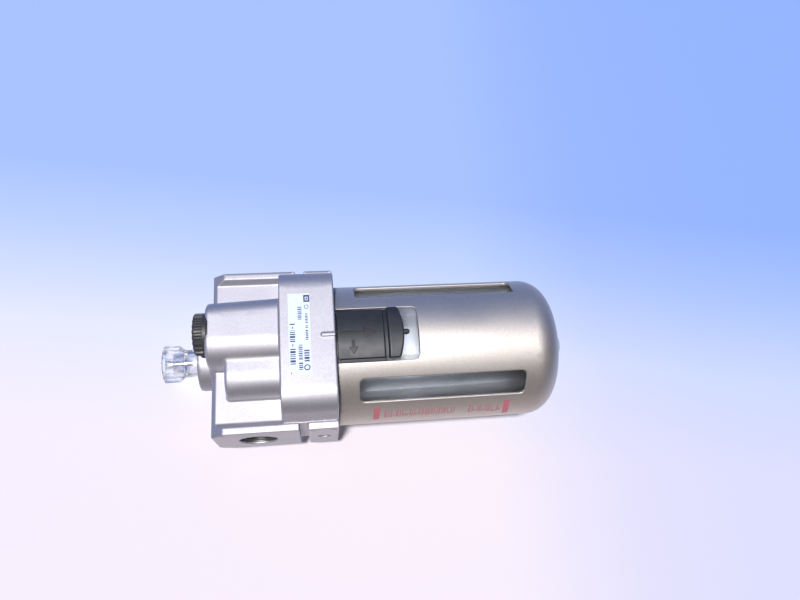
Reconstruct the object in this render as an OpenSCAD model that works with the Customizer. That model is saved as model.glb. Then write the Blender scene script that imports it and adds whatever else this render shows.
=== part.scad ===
// Compressed air lubricator: die-cast body with two pipe ports, a clear drip
// sight dome, an oil fill plug and a bayonet bowl inside a metal guard.
// Millimetres. The origin is the centre of the inlet port's mouth, +X runs with
// the air flow to the outlet, +Z is up (the bowl hangs below) and -Y is the front.

/* [Ports and flanges] */
// Distance between the two port faces
port_span = 70; // [70:1:74]
// Wall radius of the threaded ports, at the thread's pitch line
port_r = 7.96; // [7.8:0.02:8.1]
// Depth of the threaded ports
port_depth = 12; // [10:1:13]
// Half width of the flange lips, front to back
flange_half = 16; // [15.8:0.1:17]
// Thickness of a flange lip along the flow
lip = 2.9; // [2.5:0.1:3.2]

/* [Body] */
// Height of the port block above the port axis
block_top = 17.8; // [17:0.1:18.4]
// Half width of the web between the flanges
web_half = 13.3; // [13:0.1:14]
// Lower edge of the collar below the port axis
collar_bottom = 33.5; // [33:0.5:35]
// Upper edge of the collar below the port axis
collar_top = 10.9; // [10:0.1:12]
// Half depth of the collar, front to back
collar_half = 31.2; // [31:0.1:32]
// Corner radius of the collar
collar_r = 9; // [8:0.5:12]
// Width of the collar along the flow
collar_w = 61.5; // [61:0.1:64]

/* [Bowl and guard] */
// Outer radius of the metal guard
guard_r = 30.6; // [30.4:0.1:31]
// Wall thickness of the metal guard
guard_wall = 1.3; // [1.1:0.1:1.4]
// Lowest point of the guard's domed end below the port axis
guard_bottom = 133.8; // [130:0.1:140]
// Outer radius of the clear bowl
bowl_r = 28.1; // [27.9:0.1:28.2]
// Wall thickness of the clear bowl
bowl_wall = 3; // [2.6:0.1:3.2]
// Length of the nub that the bowl shows below the guard
nub_out = 3.4; // [2:0.1:5]

/* [Top fittings] */
// Radius of the boss under the sight dome
boss_r = 12.3; // [11.5:0.1:12.4]
// Top of the boss above the port axis
boss_top = 24.2; // [23:0.1:25]
// Radius of the sight dome's neck
dome_r = 6; // [5.8:0.1:6.2]
// Top of the feed knob above the port axis
knob_top = 39.4; // [39:0.1:42]
// Radius of the fill plug's head
plug_r = 8.7; // [8.4:0.1:8.8]

/* [Lock button] */
// Half width angle of the lock button, degrees
button_angle = 19.8; // [18:0.1:20]
// Travel of the lock button, used to size its window
button_travel = 3; // [2:0.5:3]

/* [Hidden] */
$fn = 96;

// Shared geometry
axis_x = port_span / 2;
flange_x = 32;
shoulder = 1.9;
top_bevel = 5;
bevel_depth = 4.2;
socket_r = bowl_r + 0.4;
socket_top = -14.5;
chamber_r = 9;
chamber_top = 7.5;
passage_r = 6.9;

// Front columns: x is measured from the bowl axis
plug_x = 5.7;
plug_y = -21.4;
plug_hole_r = 6.3;
column_top = 18.5;
plug_seat = 17.4;

// Sight dome
dome_floor = 13;
dome_end = 16.8;
neck_top = 30.6;
knob_base = 30.8;
spigot_top = 35.2;
drip_x = 4.2;

// Retainer, oil riser and check valves
riser_y = 11;
retainer_r = 14.2;
retainer_top = socket_top - 0.1;
retainer_bottom = -17.5;
screw_x = 11.2;
tube_top = -24.6;
tube_bottom = -119;
check_x = -4.2;
check_y = -4.2;
cap_top = -24;
pin_x = 2;
pin_z = 5.2;

// Guard and bowl end: a crown of large radius meets the wall through a knuckle
knuckle_r = 11.6;
crown_r = 60.8;
guard_top = -33.9;
bowl_gap = guard_r - bowl_r;
rim_z = -16.5;
window_angle = 46;

// Lock button: radii from the bowl axis
button_in = bowl_r + 0.4;
button_out = 31.6;
button_top = -34.1;
grip_out = 32.8;
spring_top = -37.3;
spring_bottom = -52.2;
spring_y = -29.6;

module at_axis() {
    translate([axis_x, 0, 0]) children();
}

// Prism on a rounded rectangle, centred on the origin in plan
module rounded_plate(w, d, r, h) {
    linear_extrude(h) union() {
        square([w - 2 * r, d], center = true);
        square([w, d - 2 * r], center = true);
        for (sx = [-1, 1], sy = [-1, 1])
            translate([sx * (w / 2 - r), sy * (d / 2 - r)]) circle(r);
    }
}

// Rounded prism whose upper edge is rounded by the radius e
module soft_block(w, d, r, h, e) {
    rounded_plate(w, d, r, h - e);
    rounded_plate(w - 2 * e, d - 2 * e, r - e, h);
    translate([0, 0, h - e]) {
        for (s = [-1, 1]) {
            translate([0, s * (d / 2 - e), 0]) rotate([0, 90, 0])
                cylinder(r = e, h = w - 2 * r, center = true);
            translate([s * (w / 2 - e), 0, 0]) rotate([90, 0, 0])
                cylinder(r = e, h = d - 2 * r, center = true);
        }
        for (sx = [-1, 1], sy = [-1, 1])
            translate([sx * (w / 2 - r), sy * (d / 2 - r), 0])
                rotate_extrude() translate([r - e, 0]) circle(e);
    }
}

module ring(r_mid, r_section) {
    rotate_extrude() translate([r_mid, 0]) circle(r_section, $fn = 32);
}

module tube(r_out, r_in, h) {
    difference() {
        cylinder(r = r_out, h = h);
        translate([0, 0, -1]) cylinder(r = r_in, h = h + 2);
    }
}

// Pie slice of half angle a about -Y, for cutting rings
module front_wedge(a, z0, z1, reach = 60) {
    translate([0, 0, z0]) linear_extrude(z1 - z0)
        polygon([[0, 0], [-reach * tan(a), -reach], [reach * tan(a), -reach]]);
}

// Half outline of the bowl or guard, inset from the guard's outer surface
module end_outline(inset, top) {
    rc = knuckle_r - inset;
    rs = crown_r - inset;
    r = guard_r - inset;
    crown_z = crown_r - guard_bottom;
    drop = sqrt(pow(rs - rc, 2) - pow(r - rc, 2));
    knuckle_z = crown_z - drop;
    reach = rs + 10;
    slope = (r - rc) / drop;
    intersection() {
        union() {
            translate([0, knuckle_z]) square([r, top - knuckle_z]);
            translate([r - rc, knuckle_z]) circle(rc);
            intersection() {
                translate([0, crown_z]) circle(rs, $fn = 180);
                polygon([[0, crown_z], [0, crown_z - reach], [reach * slope, crown_z - reach]]);
            }
        }
        translate([0, -guard_bottom - 5]) square([r + 5, guard_bottom + 5 + top]);
    }
}

module flange_outline() {
    polygon([[0, -flange_half], [lip, -flange_half], [lip + shoulder, -web_half],
        [lip + shoulder, web_half], [lip, flange_half], [0, flange_half]]);
}

module flange() {
    groove_z = -19.3;
    groove_w = 3.8;
    difference() {
        translate([0, 0, -collar_bottom]) linear_extrude(collar_bottom + block_top) flange_outline();
        translate([-1, -30, groove_z - groove_w / 2])
            cube([1 + axis_x - flange_x, 60, groove_w]);
        translate([-1, 0, -27.5]) rotate([0, 90, 0]) cylinder(d = 5, h = 1.5);
    }
}

module port() {
    translate([-1, 0, 0]) rotate([0, 90, 0]) cylinder(r = port_r, h = port_depth + 1);
}

module both_ends() {
    children();
    translate([port_span, 0, 0]) mirror([1, 0, 0]) children();
}

// Wedges that bevel the long upper edges of the port block, lips included
module block_bevels() {
    reach = 1.4;
    for (s = [0, 1])
        mirror([0, s, 0]) translate([-1, flange_half - bevel_depth, block_top])
            rotate([90, 0, 90]) linear_extrude(port_span + 2)
                polygon([[0, 0], [bevel_depth * reach, -top_bevel * reach], [bevel_depth * reach, 1], [0, 1]]);
}

module port_block() {
    web_x = lip + shoulder - 0.5;
    difference() {
        union() {
            both_ends() flange();
            translate([web_x, -web_half, -collar_bottom])
                cube([port_span - 2 * web_x, 2 * web_half, collar_bottom + block_top]);
        }
        block_bevels();
    }
}

module front_columns() {
    tall_left = -8.2;
    tall_right = 18.6;
    tall_front = 30;
    tall_r = 8;
    short_left = -20.9;
    short_front = 25.5;
    short_top = 11.2;
    short_r = 9;
    base = -collar_top - 2;
    tall_w = tall_right - tall_left;
    translate([(tall_left + tall_right) / 2, 0, base])
        soft_block(tall_w, 2 * tall_front, tall_r, column_top - base, 1.6);
    translate([(short_left + tall_right) / 2, 0, base])
        soft_block(tall_right - short_left, 2 * short_front, short_r, short_top - base, 1.6);
}

// Keeps only what lies in front of the web's middle
module front_half() {
    intersection() {
        children();
        translate([-50, -60, -60]) cube([100, 60, 120]);
    }
}

module back_column() {
    back_w = 38;
    back_depth = 25.5;
    back_top = 11.2;
    base = -collar_top - 2;
    intersection() {
        translate([0, 0, base]) soft_block(back_w, 2 * back_depth, 9, back_top - base, 1.6);
        translate([-50, 0, -60]) cube([100, 60, 120]);
    }
}

module collar() {
    edge = 0.8;
    h = collar_bottom - collar_top;
    translate([0, 0, -collar_bottom]) difference() {
        soft_block(collar_w, 2 * collar_half, collar_r, h, edge);
        translate([0, 0, -1]) cylinder(r = socket_r, h = socket_top + collar_bottom + 1);
    }
}

// Raised line on the collar that shows where the lock button belongs
module alignment_rib() {
    rib_w = 1.5;
    rib_l = 5.6;
    translate([-rib_w / 2, -collar_half - 0.5, -collar_bottom + 0.1]) cube([rib_w, 2, rib_l]);
}

module body_cuts() {
    both_ends() port();
    rotate([0, 90, 0]) cylinder(r = passage_r, h = port_span);
    at_axis() {
        translate([0, 0, -collar_bottom - 1])
            cylinder(r = socket_r, h = socket_top + collar_bottom + 1);
        translate([0, 0, -collar_bottom - 1])
            cylinder(r1 = socket_r + 1.6, r2 = socket_r, h = 1.6);
        translate([0, 0, socket_top - 1]) cylinder(r = chamber_r, h = chamber_top - socket_top + 1);
        translate([0, 0, dome_floor]) cylinder(r = dome_r + 0.3, h = 20);
        translate([drip_x, 0, 0]) cylinder(r = 0.9, h = dome_floor + 1);
        translate([0, 0, dome_floor - 1.5]) cylinder(r = 1.6, h = 3);
        translate([0, riser_y, socket_top - 1]) cylinder(r = 1.2, h = dome_floor - socket_top + 0.8);
        translate([0, 0, dome_floor - 0.8]) rotate([-90, 0, 0]) cylinder(r = 0.7, h = riser_y);
        translate([plug_x, plug_y, socket_top - 1]) cylinder(r = 5, h = 60);
        translate([plug_x, plug_y, 8]) cylinder(r = plug_hole_r, h = 40);
        translate([plug_x, plug_y, plug_seat]) cylinder(r = plug_r + 0.15, h = 10);
        translate([plug_x, plug_y, plug_seat - 1.5]) cylinder(r = plug_r - 0.6, h = 10);
        for (s = [-1, 1])
            translate([s * screw_x, 0, socket_top - 1]) cylinder(r = 1.25, h = 6);
    }
}

module body() {
    color([0.72, 0.71, 0.70]) difference() {
        union() {
            port_block();
            at_axis() {
                front_half() front_columns();
                back_column();
                collar();
                alignment_rib();
                translate([0, 0, block_top - 1]) soft_disc(boss_r, boss_top - block_top + 1, 1.2);
            }
        }
        body_cuts();
    }
}

// Disc with a rounded upper edge
module soft_disc(r, h, e) {
    cylinder(r = r, h = h - e);
    cylinder(r = r - e, h = h);
    translate([0, 0, h - e]) rotate_extrude() translate([r - e, 0]) circle(e, $fn = 48);
}

module sight_dome() {
    bore_r = 4.4;
    web_z = 29.5;
    color([0.88, 0.92, 0.98, 0.5]) at_axis() difference() {
        union() {
            translate([0, 0, dome_end]) cylinder(r = dome_r + 0.2, h = boss_top - dome_end);
            translate([0, 0, boss_top]) cylinder(r = dome_r, h = neck_top - boss_top);
            translate([0, 0, neck_top]) cylinder(r = 4, h = spigot_top - neck_top);
        }
        translate([0, 0, dome_end - 1]) cylinder(r = bore_r, h = web_z - dome_end + 1);
        cylinder(r = 1.1, h = spigot_top + 1);
    }
}

module dome_seal() {
    section = 0.85;
    color([0.08, 0.08, 0.09]) at_axis()
        translate([0, 0, dome_end - section - 0.03]) ring(5.35, section);
}

module drip_nozzle() {
    base_h = 2;
    riser_top = 27.5;
    color([0.85, 0.87, 0.88]) at_axis() difference() {
        union() {
            translate([0, 0, dome_floor]) cylinder(r = dome_r - 1.7, h = base_h);
            translate([0, 0, dome_floor]) cylinder(r = dome_r + 0.2, h = 0.9);
            translate([0, 0, dome_floor]) cylinder(r = 1.8, h = riser_top - dome_floor);
        }
        translate([0, 0, dome_floor - 1]) cylinder(r = 0.8, h = 20);
        translate([0, 0, riser_top - 2.5]) cylinder(r = 1.15, h = 4);
        translate([drip_x - 0.9, 0, dome_floor - 1]) cylinder(r = 0.7, h = 5);
    }
}

module feed_knob() {
    outer_r = 8;
    lobes = 20;
    flute_r = 0.7;
    cone_h = 2.7;
    bore_r = 4.1;
    color([0.88, 0.92, 0.98, 0.5]) at_axis() difference() {
        union() {
            translate([0, 0, knob_base]) cylinder(r1 = dome_r, r2 = outer_r, h = cone_h);
            translate([0, 0, knob_base + cone_h])
                soft_disc(outer_r, knob_top - knob_base - cone_h, 0.6);
        }
        for (i = [0 : lobes - 1])
            rotate([0, 0, 360 / lobes * (i + 0.5)])
                translate([outer_r + 0.25, 0, knob_base + cone_h]) cylinder(r = flute_r, h = 20, $fn = 24);
        translate([0, 0, knob_base - 1]) cylinder(r = bore_r, h = spigot_top + 0.3 - knob_base + 1);
        cylinder(r = 1.7, h = knob_top - 0.8);
    }
}

module feed_needle() {
    tip_z = 25.2;
    head_z = 35.7;
    head_h = 1.6;
    color([0.75, 0.75, 0.77]) at_axis() {
        translate([0, 0, tip_z]) cylinder(r1 = 0.3, r2 = 1, h = 2);
        translate([0, 0, tip_z + 2]) cylinder(r = 1, h = head_z - tip_z - 1.9);
        translate([0, 0, head_z]) cylinder(r = 1.6, h = head_h);
    }
}

module fill_plug() {
    head_z = plug_seat + 0.25;
    collar_h = 1.8;
    rib_h = 3.9;
    ribs = 20;
    flute_r = 0.6;
    color([0.10, 0.10, 0.11]) at_axis() translate([plug_x, plug_y, 0]) {
        translate([0, 0, plug_seat - 9]) tube(plug_hole_r - 0.2, 3.2, 9.5);
        translate([0, 0, head_z]) cylinder(r = plug_r, h = collar_h);
        difference() {
            translate([0, 0, head_z + collar_h]) soft_disc(plug_r, rib_h, 1);
            for (i = [0 : ribs - 1])
                rotate([0, 0, 360 / ribs * i])
                    translate([plug_r + 0.1, 0, head_z + collar_h])
                        cylinder(r = flute_r, h = 10, $fn = 24);
        }
    }
}

module fill_plug_seal() {
    section = 0.85;
    color([0.08, 0.08, 0.09]) at_axis()
        translate([plug_x, plug_y, plug_seat - 1.5 + section + 0.02]) ring(7.1, section);
}

module damper_retainer() {
    plug_top = -7.5;
    plate_h = 15;
    boss_bottom = -30;
    color([0.82, 0.81, 0.78]) at_axis() difference() {
        union() {
            translate([0, 0, retainer_bottom])
                cylinder(r = retainer_r, h = retainer_top - retainer_bottom);
            translate([0, 0, retainer_top - 1])
                cylinder(r = chamber_r - 0.2, h = plug_top - retainer_top + 1);
            translate([-1, -chamber_r + 0.4, plug_top - 0.5])
                cube([2, 2 * (chamber_r - 0.4), plate_h]);
            for (s = [-1, 1])
                translate([0.5, s * 5.4 - 0.5, pin_z - 1.1]) cube([pin_x + 0.5, 1, 2.2]);
            translate([0, riser_y, boss_bottom]) cylinder(r = 4, h = retainer_bottom - boss_bottom + 1);
            translate([check_x, check_y, cap_top - 3])
                cylinder(r = 3.6, h = retainer_bottom - cap_top + 4);
        }
        rotate([0, 90, 0]) cylinder(r = 4.2, h = 10, center = true);
        translate([pin_x, 0, pin_z]) rotate([90, 0, 0]) cylinder(r = 0.5, h = 20, center = true);
        translate([0, 0, -11.5]) difference() {
            cylinder(r = chamber_r + 1, h = 1.6);
            translate([0, 0, -1]) cylinder(r = 7.4, h = 4);
        }
        translate([0, riser_y, retainer_top - 10]) cylinder(r = 1.1, h = 11);
        translate([0, riser_y, retainer_top - 0.9]) cylinder(r = 2.3, h = 2);
        translate([0, riser_y, tube_top]) cylinder(r = 2.3, h = 5.6);
        translate([0, riser_y, boss_bottom - 1]) cylinder(r = 2, h = tube_top - boss_bottom + 1);
        translate([check_x, check_y, cap_top - 4]) cylinder(r = 2.2, h = 8);
        translate([check_x, check_y, cap_top]) cylinder(r = 0.8, h = 20);
        for (s = [-1, 1])
            translate([s * screw_x, 0, retainer_bottom - 1]) cylinder(r = 1.6, h = 6);
    }
}

module retainer_seal() {
    color([0.08, 0.08, 0.09]) at_axis() translate([0, 0, -10.7]) ring(8.2, 0.75);
}

module riser_seal() {
    color([0.08, 0.08, 0.09]) at_axis() translate([0, riser_y, retainer_top - 0.45]) ring(1.7, 0.45);
}

module retainer_screws() {
    head_h = 1.8;
    shank_l = 7.4;
    color([0.70, 0.70, 0.72]) at_axis() for (s = [-1, 1])
        translate([s * screw_x, 0, retainer_bottom]) {
            cylinder(r = 1.2, h = shank_l);
            translate([0, 0, -head_h]) difference() {
                cylinder(r = 2.4, h = head_h);
                translate([-2, -0.35, -1]) cube([4, 0.7, 1.8]);
                translate([-0.35, -2, -1]) cube([0.7, 4, 1.8]);
            }
        }
}

module damper() {
    leaf = 0.6;
    leaf_x = 1.1;
    color([0.15, 0.15, 0.16]) at_axis() difference() {
        union() {
            translate([leaf_x, 0, 0]) rotate([0, 90, 0]) cylinder(r = 4.8, h = leaf);
            translate([leaf_x, -3.5, 3]) cube([leaf, 7, pin_z - 3]);
            translate([pin_x, 0, pin_z]) rotate([90, 0, 0]) cylinder(r = 0.9, h = 9, center = true);
        }
        translate([pin_x, 0, pin_z]) rotate([90, 0, 0]) cylinder(r = 0.54, h = 20, center = true);
    }
}

module damper_pin() {
    color([0.70, 0.70, 0.72]) at_axis()
        translate([pin_x, 0, pin_z]) rotate([90, 0, 0]) cylinder(r = 0.48, h = 11.8, center = true);
}

module oil_check_ball() {
    color([0.75, 0.75, 0.77]) at_axis() translate([0, riser_y, tube_top + 1.22]) sphere(1.6);
}

module bowl_check_ball() {
    color([0.75, 0.75, 0.77]) at_axis() translate([check_x, check_y, cap_top + 1.28]) sphere(1.5);
}

module bowl_check_cap() {
    color([0.80, 0.78, 0.72]) at_axis() translate([check_x, check_y, cap_top]) difference() {
        union() {
            translate([0, 0, -3]) cylinder(r = 2.2, h = 3);
            translate([0, 0, -4]) cylinder(r = 3.2, h = 1);
        }
        translate([0, 0, -5]) cylinder(r = 0.9, h = 6);
        translate([-3, -0.3, -0.5]) cube([6, 0.6, 1]);
    }
}

module oil_tube() {
    color([0.90, 0.90, 0.86]) at_axis()
        translate([0, riser_y, tube_bottom]) tube(2, 1.1, tube_top - tube_bottom);
}

module oil_strainer() {
    strainer_h = 9;
    color([0.72, 0.60, 0.35]) at_axis() translate([0, riser_y, tube_bottom - 5]) difference() {
        soft_disc(5, strainer_h, 0.8);
        translate([0, 0, 1]) cylinder(r = 3.8, h = 4);
        translate([0, 0, 1]) cylinder(r = 2, h = strainer_h);
    }
}

module bowl() {
    inner = bowl_gap + bowl_wall;
    ledge_z = -54;
    color([0.85, 0.89, 0.93, 0.5]) at_axis() {
        difference() {
            union() {
                rotate_extrude() {
                    end_outline(bowl_gap, rim_z);
                    nub_outline();
                }
                bowl_pads();
                translate([-1.1, spring_y - 1.1, ledge_z])
                    cube([2.2, 3, spring_bottom - ledge_z - 0.05]);
            }
            rotate_extrude() end_outline(inner, rim_z + 5);
            translate([0, 0, -23]) seal_groove();
        }
    }
}

// Half outline of the nub at the bottom of the bowl
module nub_outline() {
    nub_r = 4.2;
    edge = 0.6;
    nub_h = nub_out + bowl_gap + 1;
    translate([0, -guard_bottom - nub_out]) {
        square([nub_r - edge, nub_h]);
        translate([0, edge]) square([nub_r, nub_h - edge]);
        translate([nub_r - edge, edge]) circle(edge);
    }
}

// Pads that centre the bowl in the guard, clear of the lock button
module bowl_pads() {
    pad_z = -40;
    pad_h = 4;
    pad_w = 8;
    reach = guard_r - guard_wall - 0.05;
    for (a = [0, 90, 180])
        rotate([0, 0, a]) intersection() {
            translate([0, 0, pad_z]) cylinder(r = reach, h = pad_h);
            translate([bowl_r - 1, -pad_w / 2, pad_z]) cube([5, pad_w, pad_h]);
        }
}

module seal_groove() {
    groove_w = 2.2;
    floor_r = bowl_r - 1.75;
    translate([0, 0, -groove_w / 2]) difference() {
        cylinder(r = bowl_r + 1, h = groove_w);
        translate([0, 0, -1]) cylinder(r = floor_r, h = groove_w + 2);
    }
}

module bowl_seal() {
    section = 0.95;
    color([0.08, 0.08, 0.09]) at_axis() translate([0, 0, -23]) ring(bowl_r - 0.75, section);
}

// Sight window: a rounded slot through the guard, centred at angle a from the front
module guard_window(a) {
    slot_w = 11.2;
    slot_top = -42.5;
    slot_bottom = -112.5;
    corner = 2.2;
    h = slot_top - slot_bottom;
    rotate([0, 0, a]) translate([0, -20, (slot_top + slot_bottom) / 2])
        rotate([90, 0, 0]) rounded_plate(slot_w, h, corner, 20);
}

// Notch for the lock button, open at the guard's upper edge
module button_notch() {
    notch_w = 23;
    notch_bottom = -67.3;
    corner = 2.6;
    h = 60;
    translate([0, -15, notch_bottom + h / 2]) rotate([90, 0, 0]) rounded_plate(notch_w, h, corner, 30);
}

module bowl_guard() {
    color([0.70, 0.68, 0.64]) at_axis() difference() {
        rotate_extrude() end_outline(0, guard_top);
        rotate_extrude() end_outline(guard_wall, guard_top + 5);
        for (a = [-window_angle, window_angle]) guard_window(a);
        button_notch();
        translate([0, 0, -guard_bottom - 5]) cylinder(r = 4.6, h = 12);
    }
}

// Sector of a ring about the bowl axis, facing the front
module front_shell(r_in, r_out, a, z0, z1) {
    intersection() {
        translate([0, 0, z0]) tube(r_out, r_in, z1 - z0);
        front_wedge(a, z0, z1);
    }
}

module raised_arrow(length, head, stem_w) {
    union() {
        polygon([[0, 0], [-head / 2, head], [head / 2, head]]);
        translate([-stem_w / 2, head - 0.1]) square([stem_w, length - head + 0.1]);
    }
}

module lock_button() {
    groove_top = -52.9;
    grip_top = -53.6;
    grip_bottom = -61.2;
    grip_curve = 32;
    lip_out = guard_r - guard_wall - 0.25;
    color([0.12, 0.13, 0.14]) at_axis() difference() {
        union() {
            front_shell(button_in, button_out, button_angle, groove_top, button_top);
            front_shell(button_in, button_out - 0.6, button_angle, grip_top - 1, groove_top + 1);
            intersection() {
                front_shell(button_in, grip_out, button_angle + 0.7, grip_bottom - 1, grip_top);
                translate([0, 0, grip_bottom + grip_curve]) rotate([90, 0, 0])
                    cylinder(r = grip_curve, h = 40);
            }
            front_shell(button_in - 0.03, lip_out, button_angle + 3.6, grip_top, button_top - 1);
            translate([0, -30.2, grip_bottom - 2.6]) cylinder(r = 1.15, h = 5);
            translate([0, -button_out + 0.4, -49.5]) rotate([90, 0, 0]) linear_extrude(0.65)
                raised_arrow(13.5, 4.6, 1.3);
            rotate([0, 0, -10.5]) translate([0, -button_out + 0.4, -41]) rotate([90, 0, 0])
                linear_extrude(0.65) rotate([0, 0, -90]) raised_arrow(4, 2.6, 1);
        }
        translate([-1.5, spring_y - 1.4, grip_top - 2.6]) cube([3, 5, spring_top - grip_top + 2.7]);
    }
}

// Point i of a ring of the coil, wound up the Z axis
function coil_point(t, k, sides, turns, r, wire, h) =
    let (a = 360 * turns * t, b = 360 * k / sides, rr = r + wire * cos(b))
    [rr * cos(a), rr * sin(a), h * t + wire * sin(b)];

module coil(r, wire, h, turns) {
    sides = 6;
    steps = turns * 12;
    points = [for (i = [0 : steps], k = [0 : sides - 1])
        coil_point(i / steps, k, sides, turns, r, wire, h)];
    lower_walls = [for (i = [0 : steps - 1], k = [0 : sides - 1])
        let (n = (k + 1) % sides)
        [i * sides + k, i * sides + n, (i + 1) * sides + n]];
    upper_walls = [for (i = [0 : steps - 1], k = [0 : sides - 1])
        let (n = (k + 1) % sides)
        [i * sides + k, (i + 1) * sides + n, (i + 1) * sides + k]];
    start_cap = [[for (k = [sides - 1 : -1 : 0]) k]];
    end_cap = [[for (k = [0 : sides - 1]) steps * sides + k]];
    polyhedron(points = points,
        faces = concat(lower_walls, upper_walls, start_cap, end_cap), convexity = 10);
}

module lock_spring() {
    wire = 0.22;
    color([0.75, 0.75, 0.77]) at_axis()
        translate([0, spring_y, spring_bottom + wire])
            coil(0.9, wire, spring_top - spring_bottom - 2 * wire, 8);
}

module rating_label() {
    label_w = 34.2;
    label_h = 8.8;
    label_t = 0.12;
    color([0.78, 0.88, 0.97]) at_axis()
        translate([1 - label_w / 2, -collar_half - label_t, -23.5]) cube([label_w, label_t, label_h]);
}

body();
sight_dome();
dome_seal();
drip_nozzle();
feed_knob();
feed_needle();
fill_plug();
fill_plug_seal();
damper_retainer();
retainer_seal();
riser_seal();
retainer_screws();
damper();
damper_pin();
oil_check_ball();
bowl_check_ball();
bowl_check_cap();
oil_tube();
oil_strainer();
bowl();
bowl_seal();
bowl_guard();
lock_button();
lock_spring();
rating_label();
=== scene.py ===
"""Compressed air lubricator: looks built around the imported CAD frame. Metres, row frame."""
import math
import random

import bpy
import numpy as np
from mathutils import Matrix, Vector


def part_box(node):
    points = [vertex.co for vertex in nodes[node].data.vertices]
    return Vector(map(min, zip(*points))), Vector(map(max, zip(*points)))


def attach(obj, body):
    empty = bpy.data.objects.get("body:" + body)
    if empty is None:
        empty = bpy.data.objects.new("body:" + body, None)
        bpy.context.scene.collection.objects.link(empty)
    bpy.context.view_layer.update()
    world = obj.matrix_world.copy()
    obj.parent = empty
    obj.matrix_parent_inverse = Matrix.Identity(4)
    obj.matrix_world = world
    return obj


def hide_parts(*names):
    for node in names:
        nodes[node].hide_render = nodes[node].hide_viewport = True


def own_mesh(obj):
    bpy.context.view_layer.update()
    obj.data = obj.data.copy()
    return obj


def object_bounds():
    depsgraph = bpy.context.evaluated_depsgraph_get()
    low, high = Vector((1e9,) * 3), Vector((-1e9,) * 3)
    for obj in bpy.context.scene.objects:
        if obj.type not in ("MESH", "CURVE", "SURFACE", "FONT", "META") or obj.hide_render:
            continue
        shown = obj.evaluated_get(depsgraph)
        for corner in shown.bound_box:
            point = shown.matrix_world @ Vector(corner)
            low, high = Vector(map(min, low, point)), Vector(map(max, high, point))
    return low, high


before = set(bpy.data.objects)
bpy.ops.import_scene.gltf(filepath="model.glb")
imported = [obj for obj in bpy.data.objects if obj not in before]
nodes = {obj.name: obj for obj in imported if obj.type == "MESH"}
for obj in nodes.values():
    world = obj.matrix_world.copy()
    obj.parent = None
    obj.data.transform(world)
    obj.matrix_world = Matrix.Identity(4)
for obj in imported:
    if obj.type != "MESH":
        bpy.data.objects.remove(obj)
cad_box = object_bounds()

import openvdb
from mathutils import Matrix, Vector

MM = 0.001

# The bowl axis, worked out from the box of the round seal about it
seal_low, seal_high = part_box("bowl_seal")
AXIS_X = (seal_low[0] + seal_high[0]) / 2


def row_point(x, y, z):
    """Millimetres measured from the bowl axis, as metres in the row frame."""
    return Vector((AXIS_X + x * MM, y * MM, z * MM))


# ---------------------------------------------------------------- camera, stage and light

CAMERA_PLACE = Vector((-0.04851, -0.27995, -0.02474))
CAMERA_LOOK = Vector((0.36022, 0.92321, -0.13389))
CAMERA_UP = Vector((0.92890, -0.36820, -0.03976))
LENS_MM = 29.12
SENSOR_MM = 36


def make_camera():
    """Looks at the front of the object, which lies with its outlet side up and its top to the left."""
    look = CAMERA_LOOK.normalized()
    up = (CAMERA_UP - CAMERA_UP.dot(look) * look).normalized()
    right = look.cross(up)
    data = bpy.data.cameras.new("camera")
    data.sensor_width = SENSOR_MM
    data.lens = LENS_MM
    data.clip_start = 0.01
    data.clip_end = 20
    camera = bpy.data.objects.new("camera", data)
    turn = Matrix((right, up, -look)).transposed()
    camera.matrix_world = Matrix.Translation(CAMERA_PLACE) @ turn.to_4x4()
    bpy.context.scene.collection.objects.link(camera)
    bpy.context.scene.camera = camera


def ramp(tree, stops, factor):
    """A colour ramp with the given (position, colour) stops, fed by factor."""
    node = tree.nodes.new("ShaderNodeValToRGB")
    elements = node.color_ramp.elements
    while len(elements) < len(stops):
        elements.new(0.5)
    for element, (position, colour) in zip(elements, stops):
        element.position = position
        element.color = (*colour, 1)
    tree.links.new(factor, node.inputs["Fac"])
    return node.outputs["Color"]


def multiply(tree, first, second):
    """Two colours multiplied."""
    mix = tree.nodes.new("ShaderNodeMix")
    mix.data_type = "RGBA"
    mix.blend_type = "MULTIPLY"
    mix.inputs["Factor"].default_value = 1
    tree.links.new(first, mix.inputs["A"])
    tree.links.new(second, mix.inputs["B"])
    return mix.outputs["Result"]


def half_range(tree, value):
    """Turns -1..1 into 0..1."""
    node = tree.nodes.new("ShaderNodeMath")
    node.operation = "MULTIPLY_ADD"
    node.inputs[1].default_value = 0.5
    node.inputs[2].default_value = 0.5
    tree.links.new(value, node.inputs[0])
    return node.outputs[0]


WORLD_STRENGTH = 1.35
BACKDROP = (0.78, 0.82, 0.96)


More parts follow.
